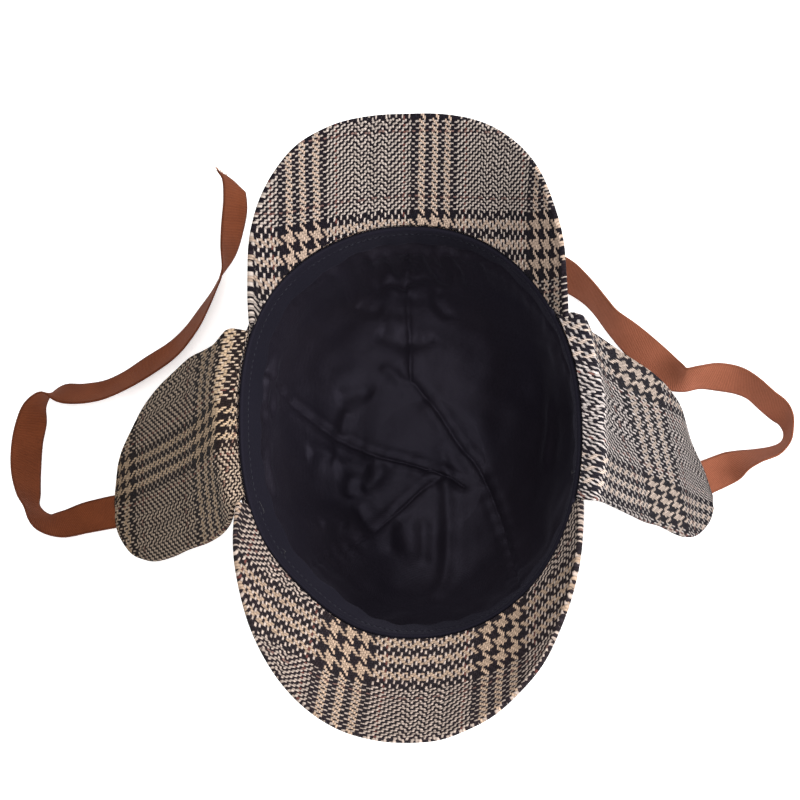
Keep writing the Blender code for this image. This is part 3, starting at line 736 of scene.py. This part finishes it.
def build_fray(grid):
    """Loose warp ends at the left tie's cut tip."""
    dice = np.random.default_rng(8)
    end = grid[-1]
    back = grid[-6]
    paths = []
    for _ in range(26):
        spot = dice.uniform(0, 1) ** 1.5 * 6
        low = int(spot)
        start = end[low] + (end[low + 1] - end[low]) * (spot - low)
        ahead = end[low] - back[low]
        ahead /= np.linalg.norm(ahead)
        stray = dice.normal(0, 0.45, 3)
        reach = dice.uniform(0.0015, 0.0040)
        share = np.linspace(0, 1, 5)[:, None]
        path = start - ahead * 0.0006 + ahead * reach * share + stray * reach * share ** 2 * 0.9
        path[:, 2] = np.maximum(path[:, 2], 0.0004)
        paths.append(path)
    return tubes("left_tie_fray", paths, [0.00016] * len(paths))


def build_fibres(material):
    """A few stray fibres caught on the sweatband and the lining."""
    # bearing in degrees, turn along the rim in degrees, height over the rim and drop in metres
    strands = ((202, -4.5, -0.0030, 0.004), (215, 3.0, -0.0050, 0.002), (348, 3.0, -0.0040, 0.003))
    paths = []
    for bearing, turn, rise, drop in strands:
        share = np.linspace(0, 1, 9)
        angle = np.radians(bearing + turn * share + 0.8 * np.sin(share * 6))
        inward = 0.0031 + 0.34 * band_lean(angle) + 0.0006 * np.sin(share * 5)
        plan = rim_point(angle, -inward)
        paths.append(np.concatenate([plan, (RIM_HEIGHT + rise - drop * share ** 2)[:, None]], axis=1))
    piece = tubes("stray_fibres", paths, [0.00006] * len(paths))
    return finish_piece(piece, material, "band_cloth")


def node_value(tree, target, value):
    """Link a socket to an input, or set the input to a plain value."""
    if isinstance(value, bpy.types.NodeSocket):
        tree.links.new(value, target)
    else:
        target.default_value = value


def maths(tree, operation, *values):
    """Output of a Math node on sockets or numbers."""
    node = tree.nodes.new("ShaderNodeMath")
    node.operation = operation
    for target, value in zip(node.inputs, values):
        node_value(tree, target, value)
    return node.outputs[0]


def mixed(tree, share, low, high):
    """Colour between two colours by a share."""
    node = tree.nodes.new("ShaderNodeMix")
    node.data_type = "RGBA"
    node_value(tree, node.inputs["Factor"], share)
    node_value(tree, node.inputs[6], (*low, 1.0) if isinstance(low, tuple) else low)
    node_value(tree, node.inputs[7], (*high, 1.0) if isinstance(high, tuple) else high)
    return node.outputs[2]


def combined(tree, x, y, z=0.0):
    """Vector of three values."""
    node = tree.nodes.new("ShaderNodeCombineXYZ")
    for target, value in zip(node.inputs, (x, y, z)):
        node_value(tree, target, value)
    return node.outputs[0]


def noise(tree, vector, scale, detail=2.0):
    """Value of a noise texture."""
    node = tree.nodes.new("ShaderNodeTexNoise")
    node_value(tree, node.inputs["Vector"], vector)
    node.inputs["Scale"].default_value = scale
    node.inputs["Detail"].default_value = detail
    return node.outputs["Fac"]


def spread(tree, value, low, high):
    """Value from 0 to 1 turned into one from low to high."""
    return maths(tree, "MULTIPLY_ADD", value, high - low, low)


def new_material(name, roughness, sheen=0.0, specular=0.3):
    """Material with its own plain settings on the shader."""
    material = bpy.data.materials.new(name)
    material.use_nodes = True
    shader = material.node_tree.nodes["Principled BSDF"]
    shader.inputs["Roughness"].default_value = roughness
    shader.inputs["Sheen Weight"].default_value = sheen
    shader.inputs["Sheen Roughness"].default_value = 0.5
    shader.inputs["Specular IOR Level"].default_value = specular
    return material, material.node_tree, shader


def put_bump(tree, shader, height, distance, strength=1.0):
    """Bump of a height, with the depth of its full range in metres."""
    bump = tree.nodes.new("ShaderNodeBump")
    bump.inputs["Strength"].default_value = strength
    bump.inputs["Distance"].default_value = distance
    tree.links.new(height, bump.inputs["Height"])
    tree.links.new(bump.outputs["Normal"], shader.inputs["Normal"])


def thread_colour(tree, number, repeat, reds, dark, pale, beige, red):
    """Colour of a thread by its place in the check: bands by fours, then a fine part by ones."""
    place = maths(tree, "FLOORED_MODULO", number, repeat)
    banded = maths(tree, "LESS_THAN", place, 27.5)
    band_light = maths(tree, "GREATER_THAN", maths(tree, "FLOORED_MODULO", place, 8.0), 3.5)
    fine_light = maths(tree, "LESS_THAN", maths(tree, "FLOORED_MODULO", place, 2.0), 0.5)
    fine = mixed(tree, fine_light, dark, pale)
    middle, apart = (reds[0] + reds[1]) / 2, (reds[1] - reds[0]) / 2
    off_middle = maths(tree, "ABSOLUTE", maths(tree, "SUBTRACT", place, middle))
    over = maths(tree, "LESS_THAN", maths(tree, "ABSOLUTE", maths(tree, "SUBTRACT", off_middle, apart)), 0.6)
    fine = mixed(tree, maths(tree, "MULTIPLY", over, 0.75), fine, red)
    colour = mixed(tree, banded, fine, mixed(tree, band_light, dark, beige))
    random = tree.nodes.new("ShaderNodeTexWhiteNoise")
    random.noise_dimensions = "1D"
    tree.links.new(number, random.inputs["W"])
    return colour, spread(tree, random.outputs["Value"], 0.86, 1.10)


def tweed_material(name, dark, pale, beige, red):
    """Wool check of twill-woven threads, dark and light by fours and by ones."""
    material, tree, shader = new_material(name, 0.95, sheen=0.02, specular=0.06)
    place = tree.nodes.new("ShaderNodeUVMap")
    place.uv_map = "weave"
    parts = tree.nodes.new("ShaderNodeSeparateXYZ")
    tree.links.new(place.outputs[0], parts.inputs[0])
    spots = []
    for axis, seed in ((0, 0.0), (1, 40.0)):
        where = combined(tree, parts.outputs[0], parts.outputs[1], seed)
        wander = spread(tree, noise(tree, where, 0.07, 3.0), -1.3, 1.3)
        shiver = spread(tree, noise(tree, where, 0.9, 2.0), -0.30, 0.30)
        spots.append(maths(tree, "ADD", maths(tree, "ADD", parts.outputs[axis], wander), shiver))
    x, y = spots
    # Warp threads, with the twill turned back and forth in the fine part of each repeat
    warp_repeat = maths(tree, "FLOOR", maths(tree, "DIVIDE", x, WARP_REPEAT))
    warp_spot = maths(tree, "FLOORED_MODULO", x, WARP_REPEAT)
    drafted, facing = warp_spot, 1.0
    for turn in TWILL_TURNS:
        past = maths(tree, "SUBTRACT", warp_spot, turn)
        back = maths(tree, "MINIMUM", maths(tree, "MAXIMUM", past, 0.0), 4.0)
        drafted = maths(tree, "MULTIPLY_ADD", back, -2.0, drafted)
        inside = maths(tree, "LESS_THAN", maths(tree, "ABSOLUTE", maths(tree, "SUBTRACT", past, 2.0)), 2.0)
        facing = maths(tree, "MULTIPLY_ADD", inside, -2.0, facing)
    drafted = maths(tree, "MULTIPLY_ADD", warp_repeat, WARP_REPEAT - 8.0 * len(TWILL_TURNS), drafted)
    # Weft threads, thick ones and then thin ones in each repeat
    weft_repeat = maths(tree, "FLOOR", maths(tree, "DIVIDE", y, WEFT_REPEAT))
    weft_spot = maths(tree, "FLOORED_MODULO", y, WEFT_REPEAT)
    thin = maths(tree, "MAXIMUM", maths(tree, "SUBTRACT", weft_spot, 28.0), 0.0)
    woven = maths(tree, "MULTIPLY_ADD", weft_repeat, 86.0, maths(tree, "MULTIPLY_ADD", thin, 0.5, weft_spot))
    # Floats of both yarns lean one way and swell where they lie on top, most in the fine part
    cycle = maths(tree, "PINGPONG", maths(tree, "SUBTRACT", maths(tree, "ADD", drafted, woven), 0.5), 2.0)
    fine = maths(
        tree, "MULTIPLY", maths(tree, "GREATER_THAN", warp_spot, 28.0), maths(tree, "GREATER_THAN", weft_spot, 28.0)
    )
    sway = maths(
        tree, "MULTIPLY", maths(tree, "SUBTRACT", cycle, 1.0), spread(tree, fine, BAND_YARN_LEAN, FINE_YARN_LEAN)
    )
    warp_number = maths(tree, "FLOOR", maths(tree, "SUBTRACT", x, maths(tree, "MULTIPLY", facing, sway)))
    drafted = maths(tree, "SUBTRACT", drafted, sway)
    woven = maths(tree, "ADD", woven, sway)
    weft_number = maths(tree, "FLOOR", woven)
    warp_place, weft_place = maths(tree, "FRACT", drafted), maths(tree, "FRACT", woven)
    step = maths(tree, "FLOORED_MODULO", maths(tree, "ADD", maths(tree, "FLOOR", drafted), weft_number), 4.0)
    weft_over = maths(tree, "GREATER_THAN", step, 1.5)
    warp_colour, warp_tone = thread_colour(tree, warp_number, WARP_REPEAT, (33, 73), dark, pale, beige, red)
    weft_colour, weft_tone = thread_colour(tree, weft_number, 86.0, (36, 78), dark, pale, beige, red)
    colour = mixed(tree, weft_over, warp_colour, weft_colour)

    def choose(warp_value, weft_value):
        pick = tree.nodes.new("ShaderNodeMix")
        node_value(tree, pick.inputs["Factor"], weft_over)
        node_value(tree, pick.inputs[2], warp_value)
        node_value(tree, pick.inputs[3], weft_value)
        return pick.outputs[0]

    fuzz = noise(tree, combined(tree, x, y, 7.0), 1.7, 3.0)
    tone = choose(warp_tone, weft_tone)
    mottle_warp = noise(tree, combined(tree, x, maths(tree, "MULTIPLY", y, 0.22)), 1.1)
    mottle_weft = noise(tree, combined(tree, maths(tree, "MULTIPLY", x, 0.22), y), 1.1)
    tone = maths(tree, "MULTIPLY", tone, spread(tree, choose(mottle_warp, mottle_weft), 0.70, 1.26))
    # Each float of a thread is a rounded grain that leans with the twist of its yarn
    travel = choose(
        maths(tree, "ADD", step, weft_place), maths(tree, "ADD", maths(tree, "SUBTRACT", step, 2.0), warp_place)
    )
    off_middle = maths(tree, "MULTIPLY_ADD", choose(warp_place, weft_place), 2.0, -1.0)
    off_middle = maths(tree, "ADD", off_middle, spread(tree, fuzz, -0.45, 0.45))
    round_up = maths(tree, "SUBTRACT", 1.0, maths(tree, "MULTIPLY", off_middle, off_middle))
    arch = maths(tree, "SINE", maths(tree, "MULTIPLY", travel, math.pi / 2))
    height = maths(
        tree, "MULTIPLY", maths(tree, "SQRT", maths(tree, "MAXIMUM", round_up, 0.0)), spread(tree, arch, 0.35, 1.0)
    )
    height = maths(tree, "MULTIPLY", height, choose(1.0, 0.66))
    # Painted shade: each float's colour darker towards its sides and ends, and on the lower weft, where the rounded
    # grain dips
    tone = maths(tree, "MULTIPLY", tone, spread(tree, height, 0.40, 1.18))
    tone = maths(tree, "MULTIPLY", tone, spread(tree, fuzz, 0.80, 1.18))
    # Painted light: the flaps' root roll up to 1.65 times lighter, where it faces up to the light
    root_painted_light = tree.nodes.new("ShaderNodeAttribute")
    root_painted_light.attribute_name = "root_painted_light"
    tone = maths(tree, "MULTIPLY", tone, spread(tree, root_painted_light.outputs["Fac"], 1.0, 1.65))
    shade = tree.nodes.new("ShaderNodeMix")
    shade.data_type = "RGBA"
    shade.blend_type = "MULTIPLY"
    shade.inputs["Factor"].default_value = 1.0
    brown = spread(tree, noise(tree, combined(tree, x, y, 21.0), 0.16, 4.0), -0.30, 0.80)
    brown = maths(tree, "MINIMUM", maths(tree, "MAXIMUM", brown, 0.0), 1.0)
    tree.links.new(mixed(tree, brown, colour, mixed(tree, 0.10, colour, red)), shade.inputs[6])
    tree.links.new(combined(tree, tone, tone, tone), shade.inputs[7])
    tree.links.new(shade.outputs[2], shader.inputs["Base Color"])
    put_bump(tree, shader, maths(tree, "ADD", height, maths(tree, "MULTIPLY", fuzz, 0.5)), 0.00045, 0.8)
    return material


def lining_material(name, low, high, roughness, specular):
    """Smooth, dark, close-woven cloth with faint uneven wear."""
    material, tree, shader = new_material(name, roughness, sheen=0.04, specular=specular)
    shader.inputs["Specular Tint"].default_value = (0.80, 0.74, 1.0, 1.0)
    shader.inputs["Sheen Tint"].default_value = (0.80, 0.76, 1.0, 1.0)
    place = tree.nodes.new("ShaderNodeTexCoord").outputs["Object"]
    cloud = noise(tree, place, 22.0, 4.0)
    tree.links.new(mixed(tree, cloud, low, high), shader.inputs["Base Color"])
    parts = tree.nodes.new("ShaderNodeSeparateXYZ")
    tree.links.new(place, parts.inputs[0])
    pace = 2 * math.pi / 0.0006
    ribs = maths(tree, "ADD", maths(tree, "SINE", maths(tree, "MULTIPLY", parts.outputs[0], pace)),
                 maths(tree, "SINE", maths(tree, "MULTIPLY", maths(tree, "ADD", parts.outputs[1], parts.outputs[2]), pace)))
    height = maths(tree, "ADD", maths(tree, "MULTIPLY", ribs, 0.15), noise(tree, place, 420.0, 3.0))
    put_bump(tree, shader, height, 0.00020, 0.6)
    return material


def tape_material(name, low, high):
    """Cotton tape with fine ribs across it, a woven edge and uneven dye."""
    material, tree, shader = new_material(name, 0.85, sheen=0.03, specular=0.12)
    place = tree.nodes.new("ShaderNodeUVMap")
    place.uv_map = "weave"
    parts = tree.nodes.new("ShaderNodeSeparateXYZ")
    tree.links.new(place.outputs[0], parts.inputs[0])
    over, run = parts.outputs[0], parts.outputs[1]
    slant = maths(tree, "MULTIPLY_ADD", over, 0.35, run)
    ribs = maths(tree, "SINE", maths(tree, "MULTIPLY", slant, 2 * math.pi / 0.00095))
    grain = maths(tree, "SINE", maths(tree, "MULTIPLY", over, 2 * math.pi / 0.00060))
    edge = maths(tree, "GREATER_THAN", maths(tree, "ABSOLUTE", over), TIE_WIDTH / 2 - 0.0011)
    cloud = noise(tree, place.outputs[0], 60.0, 4.0)
    fine = noise(tree, place.outputs[0], 900.0, 2.0)
    share = maths(tree, "ADD", spread(tree, cloud, 0.15, 0.85), maths(tree, "MULTIPLY", ribs, 0.20))
    share = maths(tree, "ADD", share, spread(tree, fine, -0.22, 0.22))
    share = maths(tree, "SUBTRACT", share, maths(tree, "MULTIPLY", edge, 0.25))
    share = maths(tree, "MINIMUM", maths(tree, "MAXIMUM", share, 0.0), 1.0)
    tree.links.new(mixed(tree, share, low, high), shader.inputs["Base Color"])
    height = maths(tree, "ADD", maths(tree, "MULTIPLY", ribs, 0.5), maths(tree, "MULTIPLY", grain, 0.15))
    height = maths(tree, "ADD", height, maths(tree, "MULTIPLY", fine, 0.6))
    put_bump(tree, shader, height, 0.00022, 0.7)
    return material


def thread_material(name, low, high, roughness):
    """Plain spun thread with a mottled colour."""
    material, tree, shader = new_material(name, roughness, specular=0.2)
    place = tree.nodes.new("ShaderNodeTexCoord").outputs["Object"]
    spun = noise(tree, place, 700.0, 3.0)
    tree.links.new(mixed(tree, spun, low, high), shader.inputs["Base Color"])
    put_bump(tree, shader, spun, 0.0001, 0.6)
    return material


# Camera
camera_data = bpy.data.cameras.new("camera")
camera_data.lens = CAMERA_LENS
camera_data.sensor_width = 36.0
camera_data.clip_start = 0.02
camera = bpy.data.objects.new("camera", camera_data)
scene.collection.objects.link(camera)
place = Vector(CAMERA_PLACE) + Vector(RIM_MIDDLE)
back = (place - Vector(CAMERA_AIM) - Vector(RIM_MIDDLE)).normalized()
right = Vector((0, 1, 0)).cross(back).normalized()
up = back.cross(right)
camera.matrix_world = Matrix.Translation(place) @ Matrix((right, up, back)).transposed().to_4x4()
scene.camera = camera

# Tweed in the tones of each part of the hat, and the flaps' copies painted with the light and shade on each flap
tweed = tweed_material(
    "tweed", (0.012, 0.011, 0.016), (0.56, 0.475, 0.42), (0.58, 0.43, 0.335), (0.17, 0.06, 0.05)
)
tweed_front = tweed_material(
    "tweed_front", (0.024, 0.020, 0.024), (0.56, 0.45, 0.385), (0.585, 0.42, 0.305), (0.17, 0.06, 0.05)
)
# Left flap: darker, browner copy of the tweed, painted shade of the flap facing away from the light
tweed_left_painted_shade = tweed_material(
    "tweed_left_painted_shade", (0.012, 0.009, 0.009), (0.345, 0.265, 0.20), (0.37, 0.265, 0.175), (0.12, 0.045, 0.035)
)
# Right flap: bluer copy of the tweed, lighter than the left one, painted light of the flap facing the light
tweed_right_painted_light = tweed_material(
    "tweed_right_painted_light", (0.010, 0.010, 0.014), (0.39, 0.345, 0.325), (0.41, 0.33, 0.28), (0.14, 0.06, 0.05)
)
lining_cloth = lining_material("lining", (0.0056, 0.0048, 0.0095), (0.0110, 0.0080, 0.0108), 0.54, 0.34)
band_cloth = lining_material("band", (0.0035, 0.0032, 0.0065), (0.0070, 0.0062, 0.0110), 0.75, 0.22)
# Left tie: darker, browner copy of the right tie's tape, painted shade
tape_left_painted_shade = tape_material("tape_left_painted_shade", (0.085, 0.021, 0.008), (0.23, 0.060, 0.021))
tape_right = tape_material("tape_right", (0.175, 0.055, 0.028), (0.39, 0.132, 0.074))
stitch_thread = thread_material("stitch_thread", (0.014, 0.014, 0.020), (0.030, 0.030, 0.042), 0.7)
fray_thread = thread_material("fray_thread", (0.30, 0.13, 0.07), (0.62, 0.40, 0.26), 0.85)
pale_fibre = thread_material("pale_fibre", (0.07, 0.07, 0.07), (0.16, 0.155, 0.15), 0.8)

# Ties
left_tie, left_path, left_end = build_tie("left_tie", LEFT_TIE, 0.0125, tape_left_painted_shade, "tape_dark")
right_tie, right_path, _ = build_tie("right_tie", RIGHT_TIE, 0.0, tape_right, "tape")
fray = finish_piece(build_fray(left_end), fray_thread, "tape_dark")

# Cloth
build_crown(tweed)
build_lining(lining_cloth)
build_band(band_cloth)
build_stitches(stitch_thread)
build_fibres(pale_fibre)
for (name, shape), material in zip(PEAKS.items(), (tweed, tweed_front)):
    cloth_slab(
        name, lambda across, out, shape=shape: peak_grid(shape, across, out), 0,
        edged_shares(260, 2, 0.014), edged_shares(70, 1, 0.045), PEAK_WALL, 0.0050, "tweed_peak", material,
    )
for name, rows, side, slot, material in (
    ("left_ear_flap", LEFT_FLAP, -1, "tweed_flap_shaded", tweed_left_painted_shade),
    ("right_ear_flap", RIGHT_FLAP, 1, "tweed_flap", tweed_right_painted_light),
):
    cloth_slab(
        name, lambda across, out, rows=rows, side=side: flap_grid(rows, side, across, out), side,
        edged_shares(130, 2, 0.030), edged_shares(190, 1, 0.020), FLAP_WALL, 0.0032, slot, material,
    )

# Floor and light
floor_mesh = bpy.data.meshes.new("floor")
floor_mesh.from_pydata([(-3, -3, -0.0004), (3, -3, -0.0004), (3, 3, -0.0004), (-3, 3, -0.0004)], [], [(0, 1, 2, 3)])
floor = bpy.data.objects.new("floor", floor_mesh)
scene.collection.objects.link(floor)
floor_material = bpy.data.materials.new("floor")
floor_material.use_nodes = True
floor_shader = floor_material.node_tree.nodes["Principled BSDF"]
floor_shader.inputs["Base Color"].default_value = (0.97, 0.97, 0.965, 1)
floor_shader.inputs["Roughness"].default_value = 0.9
floor_shader.inputs["Specular IOR Level"].default_value = 0.1
floor_shader.inputs["Emission Color"].default_value = (1, 1, 1, 1)
floor_shader.inputs["Emission Strength"].default_value = 0.55
floor_mesh.materials.append(floor_material)


def add_light(name, place, aim, size, power):
    """Square area light aimed at a point."""
    data = bpy.data.lights.new(name, "AREA")
    data.shape = "SQUARE"
    data.size = size
    data.energy = power
    lamp = bpy.data.objects.new(name, data)
    lamp.location = place
    lamp.rotation_euler = (Vector(aim) - Vector(place)).to_track_quat("-Z", "Y").to_euler()
    scene.collection.objects.link(lamp)


add_light("key", (1.25, -0.10, 0.85), (0, 0, 0.08), 0.6, 20)
add_light("top", (0.10, -0.10, 1.70), (0, 0, 0.02), 0.8, 10)
add_light("front", (0.10, -1.20, 0.95), (0, 0.05, 0.08), 0.4, 6)
add_light("rear", (-0.10, 1.20, 0.95), (0, -0.05, 0.08), 0.4, 5)
world = bpy.data.worlds.new("world")
world.use_nodes = True
world.node_tree.nodes["Background"].inputs["Color"].default_value = (1, 1, 1, 1)
world.node_tree.nodes["Background"].inputs["Strength"].default_value = 0.42
scene.world = world
scene.view_settings.view_transform = "Standard"
